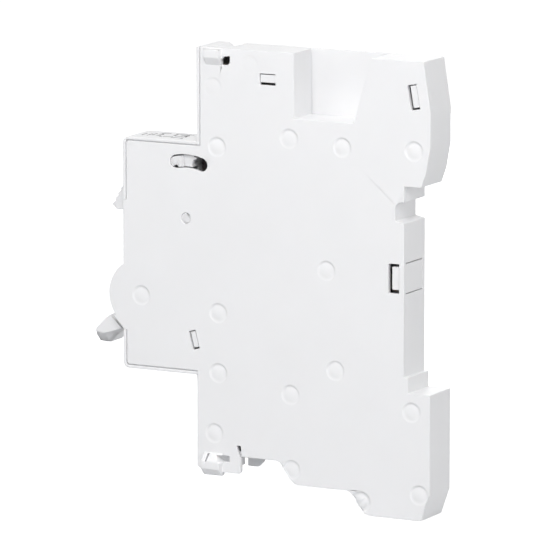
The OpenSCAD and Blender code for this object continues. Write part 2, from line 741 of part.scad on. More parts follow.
// Its side plates start clear of the chins beside it, and end a little short of the tip
paddle_side = [[8.2, -2.95], [10.8, -2.2], [tip_r - 1.9, -1.7], [tip_r - 0.9, -0.8],
    [tip_r - 0.4, -0.3], [tip_r - 1.3, 0.1], [10, 0.6], [8.9, 0.6]];
paddle_in = 0.2;
paddle_plate = 0.9;
module paddle_slab(x, outline) {
    translate([0, -hub_y, -hub_z]) rotate([rest_turn, 0, 0]) mirror([0, 1, 0])
        slab(-x, x) difference() {
            polygon(outline);
            circle(r = drum_r - 0.6);
        }
}
module toggle_handle() {
    color("white") difference() {
        union() {
            rod_x(-hub_y, -hub_z, drum_r, -paddle_x, drum_face);
            paddle_slab(paddle_x - paddle_in - paddle_plate, paddle);
            paddle_slab(paddle_x - paddle_in, paddle_side);
            rod_x(crank_y, crank_z, crank_pin_r, drum_face - weld, slide_x1 + weld);
            // Skirt that keeps the front slot closed, clear of the slide's fork behind it
            slab(drum_face - weld, paddle_x) translate([-hub_y, -hub_z]) intersection() {
                difference() {
                    circle(r = drum_r, $fn = 96);
                    circle(r = drum_r - skirt_t, $fn = 96);
                }
                polygon([[0, 0], for (k = [0:5]) let(a = skirt_a0 + (skirt_a1 - skirt_a0) * k / 5)
                    [2 * drum_r * cos(a), 2 * drum_r * sin(a)]]);
            }
        }
        rod_x(-hub_y, -hub_z, pin_r + turn_fit, x_far, x_near);
        // Ring recess that holds the torsion spring
        difference() {
            rod_x(-hub_y, -hub_z, coil_r + coil_room, x_far, -paddle_x + coil_l + weld);
            rod_x(-hub_y, -hub_z, pin_r + coil_room, x_far, x_near);
        }
    }
}
module handle_pin() {
    color("silver") rod_x(-hub_y, -hub_z, pin_r, x_far + pin_sink, x_near - dish_d - skin);
}
module handle_spring() {
    color("silver") translate([-paddle_x + weld / 2, -hub_y, -hub_z]) rotate([0, 90, 0])
        coil(coil_r, coil_wire, coil_l, 4);
}

module coupling_lever() {
    upper_arm = [[-1.3, 0], [-1.9, slot_r - 0.3], [1.1, slot_r - 0.3], [1.3, 0]];
    pad_r0 = slot_r - slot_w / 2 + pad_fit;
    pad_r1 = slot_r + slot_w / 2 - pad_fit;
    // The front end is slimmer, and almost touches the slot's end
    cap = slot_front - slot_cap + asin(pad_slim / slot_r) - 0.3;
    color("white") difference() {
        union() {
            rod_x(-lever_y, lever_z, journal_r, x_far + pin_sink + weld, x_near - 0.15);
            rod_x(-lever_y, lever_z, journal_r + boss_wall, plate_x0, plate_x1);
            // Upper arm and the pad that fills the curved slot
            slab(plate_x0, plate_x1) translate([-lever_y, lever_z]) polygon(upper_arm);
            slab(plate_x0, x_near - pad_sink) union() {
                slot_arc(pad_r0, pad_r1 - pad_slim + pad_fit, -cap, pad_step);
                slot_end(-cap, pad_slim);
            }
            slab(plate_x0, x_near - pad_sink - pad_drop) union() {
                slot_arc(pad_r0, pad_r1, pad_step - 1, pad_narrow);
                slot_arc(pad_r0, pad_r1 - pad_slim, pad_step - 1, pad_rear);
            }
            // Rear arm with its drive pin
            slab(plate_x0, plate_x1) translate([-lever_y, lever_z]) rotate(arm_turn)
                polygon([[0, -arm_root], [arm_r, -arm_end], [arm_r, arm_end], [0, arm_root]]);
            rod_x(drive_y, drive_z, arm_end, plate_x0, plate_x1);
            rod_x(drive_y, drive_z, drive_r, plate_x0, slide_x1 + weld);
        }
        // Seat for the breaker's pin, and the notch in the pad's lower edge
        slab(plate_x0 - 1, x_near) translate([-lever_y, lever_z]) {
            rotate(-pin_seat_a) translate([0, slot_r - pin_seat_in]) circle(r = pin_seat_r);
            rotate(-pad_notch_a) translate([0, pad_r0]) circle(r = pad_notch_r);
        }
    }
}

module slide_outline() {
    yoke = crank_y + fork_y1;
    toe_z = blade_top + touch + foot_r;
    // Fork round the crank pin
    translate([crank_y - fork_y0, crank_z - fork_half]) square([fork_y0 + fork_y1 + weld, 2 * fork_half]);
    translate([yoke, crank_z - fork_half]) square([fork_y2 - fork_y1, web_top - crank_z + fork_half]);
    // Web and the leg to the lever
    translate([yoke, web_low]) square([leg_y1 - yoke, web_top - web_low]);
    translate([leg_y0, web_low]) square([leg_y1 - leg_y0, drive_z + eye_over - web_low]);
    // Tongue to the blade
    translate([foot_y - foot_r, toe_z]) square([2 * foot_r, web_low + weld - toe_z]);
    translate([foot_y, toe_z]) circle(r = foot_r);
}
module transfer_slide() {
    fork_slot = 2 * (crank_pin_r + fork_fit);
    drive_slot = 2 * (drive_r + fork_fit);
    color("gainsboro") slab(slide_x0, slide_x1) difference() {
        slide_outline();
        translate([crank_y - fork_y0 - 1, crank_z - fork_slot / 2])
            square([fork_y0 + fork_y1 + 1, fork_slot]);
        translate([drive_y - drive_r - drive_fit, drive_z - drive_slot / 2])
            square([2 * (drive_r + drive_fit), drive_slot]);
    }
    // Rounded foot that presses on the blade
    color("gainsboro")
        rod_x(foot_y, blade_top + touch + foot_r, foot_r, -blade_w / 2 + skin, slide_x0 + weld);
}

module test_button() {
    low = test_top - test_h;
    tip_y = -nose_y - test_out;
    // Along the sloping face, from its upper edge to the tip
    function slope(t) = [-nose_y - thumb_top + (thumb_top - test_out) * t,
        test_top + (low + 1 - test_top) * t];
    color("whitesmoke") union() {
        // Thumb piece with saw-tooth ridges on its sloping face
        slab(-test_w / 2, test_w / 2) polygon([
            [test_y + weld, low], [test_y + weld, test_top], slope(0),
            for (k = [0:ridges - 1]) each
                [slope((k + ridge_lean) / ridges) + [ridge_d, 0], slope((k + 1) / ridges)],
            [tip_y + thumb_round, low + 0.6], [-nose_y - thumb_low, low]]);
        // Plate that keeps the window closed, and the arm over the spring
        box(-test_w / 2 - plate_side, test_w / 2 + plate_side, test_y, test_y + plate_depth,
            low - test_travel - plate_under, test_top + plate_over);
        box(-test_arm_x, test_arm_x, test_y, test_spring_y + test_spring_r + 0.5,
            test_arm_z, test_arm_z + test_arm_t);
    }
}
module test_spring() {
    color("silver") translate([0, test_spring_y, test_spring_z])
        coil(test_spring_r, spring_wire, test_spring_l, 9);
}

module contact_blade() {
    color("peru") difference() {
        union() {
            box(-blade_w / 2, blade_w / 2, blade_end, -blade_y, blade_low, blade_top);
            rod_x(-blade_y, -blade_z, eye_r + eye_wall, -blade_w / 2, blade_w / 2);
        }
        rod_x(-blade_y, -blade_z, eye_r, x_far, x_near);
        rod_z(0, -contact_y, contact_r / 2, blade_low - 1, blade_top + 1);
    }
}
module moving_contact() {
    color("silver") union() {
        rod_z(0, -contact_y, contact_r, blade_top, blade_top + contact_t);
        rod_z(0, -contact_y, contact_r / 2, blade_low - weld, blade_top + weld);
        rod_z(0, -contact_y, contact_r, blade_low - contact_t, blade_low);
    }
}
module blade_pin() {
    color("silver") rod_x(-blade_y, -blade_z, eye_r - turn_fit, strip_x0, pin_end);
}
module contact_spring() {
    color("silver") translate([0, spring_y, seat_z])
        coil(spring_r, spring_wire, spring_l - spring_fit, 8);
}

// Tab of bar i inside its clamp, and the neck that carries it to the side strip
neck_w = 0.3;
neck_h = 0.6;
lap = 0.05;
function tab_top(i) = term_z(i) + clamp_h / 2 - lap;
module bar_tab(i) {
    y = wire_y[i] + bar_y0;
    neck_top = tab_top(i) + lap + neck_h;
    box(-tab_x, tab_x, y, y + bar_t, term_z(i) - clamp_h / 2, tab_top(i));
    box(strip_x0, -tab_x + neck_w, y, y + bar_t, tab_top(i), neck_top);
    box(-tab_x, -tab_x + neck_w, y, y + bar_t, tab_top(i) - lap, neck_top);
}
module side_strip(y0, y1, z0, z1) {
    box(strip_x0, strip_x1, y0, y1, z0, z1);
}
module closing_bar() {
    y = wire_y[0] + bar_y0;
    color("goldenrod") union() {
        bar_tab(0);
        side_strip(y, y + strip_w, tab_top(0), closing_top - contact_t);
        box(strip_x0, blade_w / 2, y, y + strip_w, closing_top - contact_t - bar_t, closing_top - contact_t);
    }
}
module closing_contact() {
    color("silver") rod_z(0, -contact_y, contact_r, closing_top - contact_t, closing_top);
}
opening_low = blade_top + contact_t + touch;
module opening_bar() {
    y = wire_y[1] + bar_y0;
    front = wire_y[0] + bar_y0;
    low = opening_low + contact_t;
    color("goldenrod") union() {
        bar_tab(1);
        side_strip(y, y + strip_w, tab_top(1), low + strip_w);
        side_strip(front, y + strip_w, low, low + strip_w);
        box(strip_x0, blade_w / 2, front, front + strip_w, low, low + bar_t);
    }
}
module opening_contact() {
    color("silver") rod_z(0, -contact_y, contact_r, opening_low, opening_low + contact_t);
}
module common_bar() {
    y = wire_y[2] + bar_y0;
    color("goldenrod") difference() {
        union() {
            bar_tab(2);
            side_strip(y - strip_w + bar_t, y + bar_t, tab_top(2), -blade_z + strip_w / 2);
            side_strip(-blade_y - strip_w / 2, y + bar_t, -blade_z - strip_w / 2, -blade_z + strip_w / 2);
        }
        rod_x(-blade_y, -blade_z, eye_r - turn_fit, x_far, x_near);
    }
}

module terminal_screw(i) {
    y_head = wire_y[i] - head_back;
    y_face = y_head - head_l;
    y_tip = wire_y[i] + bar_y0 - tip_gap - tip_l;
    z = term_z(i);
    cross_r = head_r * 5 / 6;
    color("silver") difference() {
        union() {
            rod_y(0, z, head_r, y_face, y_head - 0.02);
            rod_y(0, z, shank_r, y_head - 0.5, y_tip);
            translate([0, y_tip, z]) rotate([-90, 0, 0])
                cylinder(r1 = shank_r, r2 = shank_r - tip_l, h = tip_l);
        }
        box(-cross_w / 2, cross_w / 2, y_face - 1, y_face + cross_d, z - cross_r, z + cross_r);
        box(-cross_r, cross_r, y_face - 1, y_face + cross_d, z - cross_w / 2, z + cross_w / 2);
    }
}
module terminal_clamp(i) {
    y = wire_y[i];
    z = term_z(i);
    color("lightgray") difference() {
        box(-clamp_x, clamp_x, y + clamp_front, y + clamp_rear, z - clamp_h / 2, z + clamp_h / 2 - 0.1);
        box(-clamp_x + clamp_wall, clamp_x - clamp_wall, y + clamp_front + nut_t, y + clamp_rear - jaw_t,
            z - clamp_h, z + clamp_h);
        rod_y(0, z, shank_r + turn_fit, y + clamp_front - 1, y + clamp_front + nut_t + weld);
    }
}

base_shell();
side_cover();
toggle_handle();
handle_pin();
handle_spring();
coupling_lever();
transfer_slide();
test_button();
test_spring();
contact_blade();
moving_contact();
blade_pin();
contact_spring();
common_bar();
closing_bar();
opening_bar();
closing_contact();
opening_contact();
terminal_screw(0);  // terminal_screw_1
terminal_screw(1);  // terminal_screw_2
terminal_screw(2);  // terminal_screw_3
terminal_clamp(0);  // terminal_clamp_1
terminal_clamp(1);  // terminal_clamp_2
terminal_clamp(2);  // terminal_clamp_3
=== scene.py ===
import math

import bmesh
import bpy
from mathutils import Matrix, Vector


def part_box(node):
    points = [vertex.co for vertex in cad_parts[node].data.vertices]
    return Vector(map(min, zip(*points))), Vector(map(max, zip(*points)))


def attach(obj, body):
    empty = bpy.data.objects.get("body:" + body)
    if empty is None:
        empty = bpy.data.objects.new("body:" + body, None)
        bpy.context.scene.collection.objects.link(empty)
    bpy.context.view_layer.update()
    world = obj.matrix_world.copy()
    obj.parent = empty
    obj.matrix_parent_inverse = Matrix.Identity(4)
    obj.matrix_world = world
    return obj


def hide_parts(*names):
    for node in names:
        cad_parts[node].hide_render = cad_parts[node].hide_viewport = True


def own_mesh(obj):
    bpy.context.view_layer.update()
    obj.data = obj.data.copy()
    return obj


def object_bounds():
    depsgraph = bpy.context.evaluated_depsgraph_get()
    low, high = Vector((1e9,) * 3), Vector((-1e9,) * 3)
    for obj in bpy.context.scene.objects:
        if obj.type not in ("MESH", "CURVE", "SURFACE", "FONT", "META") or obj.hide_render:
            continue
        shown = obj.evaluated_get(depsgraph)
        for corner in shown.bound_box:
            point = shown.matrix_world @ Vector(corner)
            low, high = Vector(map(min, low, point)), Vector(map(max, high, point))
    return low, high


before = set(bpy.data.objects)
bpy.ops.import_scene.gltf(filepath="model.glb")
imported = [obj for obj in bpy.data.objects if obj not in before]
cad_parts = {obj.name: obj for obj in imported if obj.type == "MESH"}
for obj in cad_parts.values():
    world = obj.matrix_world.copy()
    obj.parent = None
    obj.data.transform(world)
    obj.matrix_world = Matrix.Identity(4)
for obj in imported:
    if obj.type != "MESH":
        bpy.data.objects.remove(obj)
cad_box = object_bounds()

# Case shell
# The case half with the far wall and the walls all round, injection moulded in
# white polyamide. Its edges come from the mould with a radius of about 0.1 mm.
# The cover snaps into it.
mm = 0.001
merge_gap = 0.002
sharp_angle = math.radians(28)


def linear(code):
    """A colour written as sRGB hex, turned to linear."""
    parts = [int(code[i : i + 2], 16) / 255 for i in (1, 3, 5)]
    return [part / 12.92 if part <= 0.04045 else ((part + 0.055) / 1.055) ** 2.4 for part in parts] + [1]


def add(tree, kind, settings=None, inputs=None):
    """Adds a node. An input is a plain value, or the output that feeds it."""
    node = tree.nodes.new(kind)
    for key, value in (settings or {}).items():
        setattr(node, key, value)
    for key, value in (inputs or {}).items():
        if isinstance(value, bpy.types.NodeSocket):
            tree.links.new(value, node.inputs[key])
        else:
            node.inputs[key].default_value = value
    return node


def moulded_plastic(name, colour, shade, rough, grain_mm, grain_depth_mm, cloud_mm, soft):
    """Moulded plastic: fine mould grain, slow clouding of the colour, light that enters a little."""
    gloss_swing = 0.06
    plastic = bpy.data.materials.new(name)
    plastic.use_nodes = True
    tree = plastic.node_tree
    tree.nodes.clear()
    place = add(tree, "ShaderNodeTexCoord").outputs["Object"]
    # Clouds some millimetres wide: to the eye the white is not one flat tone
    clouds = add(tree, "ShaderNodeTexNoise", inputs={
        "Vector": place, "Scale": 1 / (cloud_mm * mm), "Detail": 3.0})
    tint = add(tree, "ShaderNodeMix", {"data_type": "RGBA"}, {"Factor": clouds.outputs["Fac"]})
    tint.inputs[6].default_value = linear(colour)
    tint.inputs[7].default_value = linear(shade)
    # Mould grain: it spreads the highlight to a satin sheen. Real grain is finer
    # than a pixel of the photo, 0.19 mm, so it is drawn coarser, about that wide.
    grain = add(tree, "ShaderNodeTexNoise", inputs={
        "Vector": place, "Scale": 1 / (grain_mm * mm), "Detail": 2.0})
    gloss = add(tree, "ShaderNodeMapRange", inputs={
        "Value": grain.outputs["Fac"], "To Min": rough - gloss_swing, "To Max": rough + gloss_swing})
    dents = add(tree, "ShaderNodeBump", inputs={
        "Strength": 0.5, "Distance": grain_depth_mm * mm, "Height": grain.outputs["Fac"]})
    # Light that enters a little takes the hardness out of the shadows at edges
    body = add(tree, "ShaderNodeBsdfPrincipled", inputs={
        "Base Color": tint.outputs[2], "Roughness": gloss.outputs["Result"],
        "Normal": dents.outputs["Normal"], "IOR": 1.53,
        "Subsurface Weight": soft, "Subsurface Scale": 0.6 * mm})
    body.inputs["Subsurface Radius"].default_value = (1.0, 0.9, 0.8)
    add(tree, "ShaderNodeOutputMaterial", inputs={"Surface": body.outputs["BSDF"]})
    return plastic


def copy_of(node):
    """A new piece with the merged mesh of a CAD node."""
    work = bmesh.new()
    work.from_mesh(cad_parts[node].data)
    bmesh.ops.remove_doubles(work, verts=work.verts, dist=merge_gap * mm)
    data = bpy.data.meshes.new(node + "_looks")
    work.to_mesh(data)
    work.free()
    piece = bpy.data.objects.new(node + "_looks", data)
    bpy.context.scene.collection.objects.link(piece)
    return piece


def round_edges(piece, width_mm, keep=None):
    """Gives every sharp edge the small radius that its mould leaves, except where keep says so."""
    work = bmesh.new()
    work.from_mesh(piece.data)
    weight = work.edges.layers.float.new("bevel_weight_edge")
    for edge in work.edges:
        sharp = edge.calc_face_angle(0) > sharp_angle
        edge[weight] = 1.0 if sharp and not (keep and keep(edge)) else 0.0
    work.to_mesh(piece.data)
    work.free()
    bevel = piece.modifiers.new("mould radius", "BEVEL")
    bevel.width = width_mm * mm
    bevel.segments = 2
    bevel.limit_method = "WEIGHT"
    bevel.use_clamp_overlap = False
    even = piece.modifiers.new("flat faces stay flat", "WEIGHTED_NORMAL")
    even.mode = "FACE_AREA"
    even.weight = 100
    even.keep_sharp = True
    piece.data.polygons.foreach_set("use_smooth", [True] * len(piece.data.polygons))
    made = bpy.data.meshes.new_from_object(piece.evaluated_get(bpy.context.evaluated_depsgraph_get()))
    piece.modifiers.clear()
    piece.data = made


def finish_piece(piece, body, material, node=None):
    """Gives a piece its material and body, and hides the CAD node that it stands for where one is named."""
    piece.data.materials.clear()
    piece.data.materials.append(material)
    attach(piece, body)
    if node:
        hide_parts(node)


case_white = moulded_plastic(
    "white_polyamide_case", "#EFEFF0", "#EBEBEC",
    rough=0.5, grain_mm=0.16, grain_depth_mm=0.012, cloud_mm=9, soft=0.08)
case_shell = copy_of("base_shell")
round_edges(case_shell, width_mm=0.12)
finish_piece(case_shell, "housing", case_white, "base_shell")

# Side cover
# The flat cover on the breaker's side, from the same white polyamide. Moulded
# pins behind the round recesses press into sockets of the case, and four snap
# windows take the catches of the case.
cover_white = moulded_plastic(
    "white_polyamide_cover", "#EFEFF0", "#EBEBEC",
    rough=0.48, grain_mm=0.16, grain_depth_mm=0.01, cloud_mm=11, soft=0.08)
cover = copy_of("side_cover")
cover_face = max(vert.co.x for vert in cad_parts["base_shell"].data.vertices)

# A recess over a pin, seen from its middle outwards: a low dome, a floor that
# tilts, a soft edge. Radii, widths and depths are in mm.
recess_radius = 2.1
recess_edge = 2.03
edge_width = 0.5
edge_rings = 8
dome_radius = 1.35
dome_rings = 6
dome_share = 0.52
level_share = 0.62
tilt_share = 0.38
deepest_way = math.radians(78)
rim_room = 0.02
front_room = 0.4
pin_depth = 0.3

# Each recess: place from the rail face, minus towards the front, then height and
# depth. Two hardly show in the photo, so they are shallow.
pin_recesses = [
    (-40.49, 34.26, 0.08),
    (-39.63, 22.85, pin_depth),
    (-24.27, 25.47, pin_depth),
    (-13.07, 24.56, pin_depth),
    (1.96, 24.89, pin_depth),
    (-16.35, 0.92, pin_depth),
    (-39.41, -9.07, pin_depth),
    (-14.37, -18.06, pin_depth),
    (1.66, -24.63, pin_depth),
    (-23.68, -38.03, pin_depth),
    (-39.41, -20.69, pin_depth),
    (-23.93, -23.54, pin_depth),
    (-40.28, -32.44, pin_depth),
    (3.3, -40.34, pin_depth),
    (-32.59, 38.9, 0.05),
    (-56.15, -6.99, pin_depth),
]


def recess_fall(radius, way):
    """Share of a recess's depth: a soft edge, a floor that is lowest towards its upper edge, a low dome."""
    slope = min(1.0, (recess_edge - radius) / edge_width)
    edge = slope * slope * (3 - 2 * slope)
    floor_radius = recess_edge - edge_width
    tilt = level_share + tilt_share * min(1.0, radius / floor_radius) * math.cos(way - deepest_way)
    return edge * tilt - dome_share * max(0.0, 1 - (radius / dome_radius) ** 2)


def turn_recess(work, y, z, depth):
    """Swaps the shape's recess over a pin for one with smooth rings."""
    def near(vert):
        away = math.hypot(vert.co.y - y * mm, vert.co.z - z * mm)
        return vert.co.x > cover_face - front_room * mm and away < (recess_radius + rim_room) * mm

    def way_of(vert):
        return math.atan2(vert.co.z - z * mm, vert.co.y - y * mm)

    def point(radius, way):
        x = cover_face - depth * recess_fall(radius, way) * mm
        return x, (y + radius * math.cos(way)) * mm, (z + radius * math.sin(way)) * mm

    old = [face for face in work.faces if all(near(vert) for vert in face.verts)]
    bmesh.ops.delete(work, geom=old, context="FACES")
    open_edges = [edge for edge in work.edges if edge.is_boundary and all(near(vert) for vert in edge.verts)]
    ring = sorted({vert for edge in open_edges for vert in edge.verts}, key=way_of)
    ways = [way_of(vert) for vert in ring]
    count = len(ring)
    radii = [recess_edge - k * edge_width / edge_rings for k in range(edge_rings + 1)]
    radii += [dome_radius * k / dome_rings for k in range(dome_rings, 0, -1)]
    for radius in radii:
        inner = [work.verts.new(point(radius, way)) for way in ways]
        for i in range(count):
            j = (i + 1) % count
            work.faces.new((ring[i], ring[j], inner[j], inner[i]))
        ring = inner
    hub = work.verts.new(point(0, 0))
    for i in range(count):
        work.faces.new((ring[i], ring[(i + 1) % count], hub))


work = bmesh.new()
work.from_mesh(cover.data)
for y, z, depth in pin_recesses:
    turn_recess(work, y, z, depth)
work.to_mesh(cover.data)
work.free()
cut_recess_y = -8.97
cut_recess_z = -42.76
cut_recess_radius = 1.9


def in_cut_recess(edge):
    """The recess that the foot's curve cuts through keeps its own edges."""
    return all(
        math.hypot(vert.co.y - cut_recess_y * mm, vert.co.z - cut_recess_z * mm) < cut_recess_radius * mm
        for vert in edge.verts)


round_edges(cover, width_mm=0.1, keep=in_cut_recess)
finish_piece(cover, "housing", cover_white, "side_cover")

# Tongue in the seam
# A narrow tongue of the case stands a little back in the seam between its rim
# and the cover, so that no light comes through the joint.
# The corners of each path: place from the rail face, minus towards the front, and height
seam_paths = [
    [(-43.3, 41.7), (-43.3, 22.9), (-59.35, 22.9), (-59.35, 11.5)],
    [(-59.35, -14.1), (-59.35, -20.7), (-44.0, -20.7)],
]
tongue_width = 0.18
tongue_back = 0.42
tongue_thickness = 0.3
tongue_mesh = bmesh.new()
for path in seam_paths:
    rows = []
    for k, (y, z) in enumerate(path):
        sides = []
        for one, two in ((k - 1, k), (k, k + 1)):
            if one >= 0 and two < len(path):
                way = Vector((path[two][0] - path[one][0], path[two][1] - path[one][1])).normalized()
                sides.append(Vector((-way.y, way.x)))
        off = sides[0] if len(sides) == 1 else sides[0] + sides[1]
        left = Vector((y, z)) + off * tongue_width / 2
        right = Vector((y, z)) - off * tongue_width / 2
        top_x = cover_face / mm - tongue_back
        low_x = top_x - tongue_thickness
        corners = [(top_x, left), (top_x, right), (low_x, right), (low_x, left)]
        rows.append([tongue_mesh.verts.new(Vector((x, spot.x, spot.y)) * mm) for x, spot in corners])
    for one, two in zip(rows, rows[1:]):
        for i in range(4):
            tongue_mesh.faces.new((one[i], one[(i + 1) % 4], two[(i + 1) % 4], two[i]))
    tongue_mesh.faces.new(rows[0])
    tongue_mesh.faces.new(rows[-1])
bmesh.ops.recalc_face_normals(tongue_mesh, faces=tongue_mesh.faces)
tongue_data = bpy.data.meshes.new("seam_tongue")
tongue_mesh.to_mesh(tongue_data)
tongue_mesh.free()
tongue = bpy.data.objects.new("seam_tongue", tongue_data)
bpy.context.scene.collection.objects.link(tongue)
finish_piece(tongue, "housing", case_white)

# Printed marks
# Contact numbers and a changeover sign, pad-printed in grey ink on the top of
# the nose. Only plain numbers and lines are printed.
ink = bpy.data.materials.new("pad_printed_grey_ink")
ink.use_nodes = True
ink_tree = ink.node_tree
ink_tree.nodes.clear()
place = add(ink_tree, "ShaderNodeTexCoord").outputs["Object"]
# Ink lies a little uneven, in patches of about 0.3 mm: the eye sees print, not black lines
patch_mm = 0.3
patches = add(ink_tree, "ShaderNodeTexNoise", inputs={
    "Vector": place, "Scale": 1 / (patch_mm * mm), "Detail": 2.0})
tone = add(ink_tree, "ShaderNodeMix", {"data_type": "RGBA"}, {"Factor": patches.outputs["Fac"]})
tone.inputs[6].default_value = linear("#4C4C50")
tone.inputs[7].default_value = linear("#5E5E62")
dry = add(ink_tree, "ShaderNodeBsdfPrincipled", inputs={
    "Base Color": tone.outputs[2], "Roughness": 0.6, "IOR": 1.5})
add(ink_tree, "ShaderNodeOutputMaterial", inputs={"Surface": dry.outputs["BSDF"]})

nose_top = 23.6
ink_thickness = 0.012
stroke_width = 0.32
# Each stroke of the sign from end to end: place from the rail face, and place across the nose
sign_strokes = [
    ((-52.7, 1.9), (-50.9, 1.0)),
    ((-52.9, 1.9), (-53.4, 1.9)),
    ((-50.9, 1.9), (-48.5, 1.9)),
    ((-50.9, 0.2), (-48.5, 0.2)),
    ((-48.5, 2.3), (-48.5, 1.5)),
    ((-48.5, 0.6), (-48.5, -0.2)),
    ((-54.9, -1.8), (-53.2, -2.6)),
    ((-52.1, -2.4), (-48.2, -2.4)),
]
box_faces = ((3, 2, 1, 0), (4, 5, 6, 7), (0, 1, 5, 4), (1, 2, 6, 5), (2, 3, 7, 6), (3, 0, 4, 7))
marks = bmesh.new()
for (y0, x0), (y1, x1) in sign_strokes:
    along = Vector((x1 - x0, y1 - y0, 0)).normalized()
    side = Vector((-along.y, along.x, 0)) * stroke_width / 2
    corners = []
    for z in (nose_top, nose_top + ink_thickness):
        for x, y, way in ((x0, y0, -1), (x1, y1, -1), (x1, y1, 1), (x0, y0, 1)):
            corners.append(marks.verts.new((Vector((x, y, z)) + side * way) * mm))
    for face in box_faces:
        marks.faces.new([corners[i] for i in face])
bmesh.ops.recalc_face_normals(marks, faces=marks.faces)
sign_data = bpy.data.meshes.new("changeover_sign")
marks.to_mesh(sign_data)
marks.free()
sign = bpy.data.objects.new("changeover_sign", sign_data)
bpy.context.scene.collection.objects.link(sign)
finish_piece(sign, "housing", ink)

# Each number with the rectangle that it fills: front and rear end, then foot and head of its digits
contact_numbers = [
    ("11", -57.5, -56.1, 1.6, -0.6),
    ("12", -55.7, -53.7, 0.9, -1.3),
    ("14", -51.6, -48.4, -0.3, -1.9),
]


def share(values, value):
    """Where a value lies between the lowest and the highest, from 0 to 1."""
    return (value - min(values)) / (max(values) - min(values))


for digits, y0, y1, x0, x1 in contact_numbers:
    curve = bpy.data.curves.new("number_" + digits, "FONT")
    curve.body = digits
    # Any thickness will do, because the number is fitted to the ink's below
    curve.extrude = 0.01
    typed = bpy.data.objects.new("typed_" + digits, curve)
    bpy.context.scene.collection.objects.link(typed)
    flat = bpy.data.meshes.new_from_object(typed.evaluated_get(bpy.context.evaluated_depsgraph_get()))
    bpy.data.objects.remove(typed)
    wide, tall, deep = ([vert.co[i] for vert in flat.vertices] for i in range(3))
    for vert in flat.vertices:
        across = share(wide, vert.co.x)
        up = share(tall, vert.co.y)
        thick = share(deep, vert.co.z)
        spot = Vector((x0 + (x1 - x0) * up, y0 + (y1 - y0) * across, nose_top + ink_thickness * thick))
        vert.co = spot * mm
    number = bpy.data.objects.new("number_" + digits, flat)
    bpy.context.scene.collection.objects.link(number)
    finish_piece(number, "housing", ink)

# Toggle handle
# Drum and paddle in one moulding of white polyamide, held on a steel pin between
# the two case halves. Its smoother face gives it a tighter sheen than the case.
handle_white = moulded_plastic(
    "satin_polyamide_handle", "#EEEEEF", "#EAEAEB",
    rough=0.38, grain_mm=0.2, grain_depth_mm=0.008, cloud_mm=8, soft=0.08)
handle = copy_of("toggle_handle")
paddle_step_x = 2.1
step_room = 0.02


def on_paddle_step(edge):
    """The step from the paddle's middle to its side plates stays sharp: its edges lie too close."""
    return all(abs(abs(vert.co.x) - paddle_step_x * mm) < step_room * mm for vert in edge.verts)


round_edges(handle, width_mm=0.12, keep=on_paddle_step)
finish_piece(handle, "handle", handle_white, "toggle_handle")

# Coupling lever and transfer slide
# Both are moulded in natural acetal, which slides well and looks a little
# waxy. The lever's pad shows in the curved slot of the cover.
acetal = moulded_plastic(
    "natural_acetal", "#E6E6E7", "#E0E0E2",
    rough=0.34, grain_mm=0.3, grain_depth_mm=0.004, cloud_mm=6, soft=0.15)
lever = copy_of("coupling_lever")
round_edges(lever, width_mm=0.08)
finish_piece(lever, "lever", acetal, "coupling_lever")
slide = copy_of("transfer_slide")
round_edges(slide, width_mm=0.06)
finish_piece(slide, "slide", acetal, "transfer_slide")

# Test button
# A small ridged thumb piece in front of the nose, moulded in white polyamide in
# one with the plate that keeps its window closed and the arm over its spring.
button_white = moulded_plastic(
    "white_polyamide_button", "#EEEEEF", "#E9E9EB",
    rough=0.45, grain_mm=0.18, grain_depth_mm=0.01, cloud_mm=6, soft=0.08)
button = copy_of("test_button")
round_edges(button, width_mm=0.08)
finish_piece(button, "button", button_white, "test_button")

# Metal parts
# Pins are drawn steel, the screws and clamps zinc-plated steel, the bars
# stamped brass, the blade rolled bronze and the contact tips a silver alloy. They
# keep the meshes of the solids and only get their finish here.


def drawn_metal(name, colour, shade, rough, streak_mm, along):
    """Bare metal with fine streaks along the way it was drawn, rolled or stamped."""
    gloss_swing = 0.08
    streak_share = 0.06
    metal = bpy.data.materials.new(name)
    metal.use_nodes = True
    tree = metal.node_tree
    tree.nodes.clear()
    place = add(tree, "ShaderNodeTexCoord").outputs["Object"]
    # Streaks draw the highlight out to a line, so that the eye sees which way the
    # metal was worked. Real ones are finer, and these are drawn coarser to show.
    stretch = [1, 1, 1]
    stretch[along] = streak_share
    drawn = add(tree, "ShaderNodeMapping", inputs={"Vector": place, "Scale": stretch})
    streaks = add(tree, "ShaderNodeTexNoise", inputs={
        "Vector": drawn.outputs["Vector"], "Scale": 1 / (streak_mm * mm), "Detail": 3.0})
    tint = add(tree, "ShaderNodeMix", {"data_type": "RGBA"}, {"Factor": streaks.outputs["Fac"]})
    tint.inputs[6].default_value = linear(colour)
    tint.inputs[7].default_value = linear(shade)
    gloss = add(tree, "ShaderNodeMapRange", inputs={
        "Value": streaks.outputs["Fac"], "To Min": rough - gloss_swing, "To Max": rough + gloss_swing})
    dents = add(tree, "ShaderNodeBump", inputs={
        "Strength": 0.3, "Distance": 0.004 * mm, "Height": streaks.outputs["Fac"]})
    body = add(tree, "ShaderNodeBsdfPrincipled", inputs={
        "Base Color": tint.outputs[2], "Roughness": gloss.outputs["Result"],
        "Normal": dents.outputs["Normal"], "Metallic": 1.0})
    add(tree, "ShaderNodeOutputMaterial", inputs={"Surface": body.outputs["BSDF"]})
    return metal


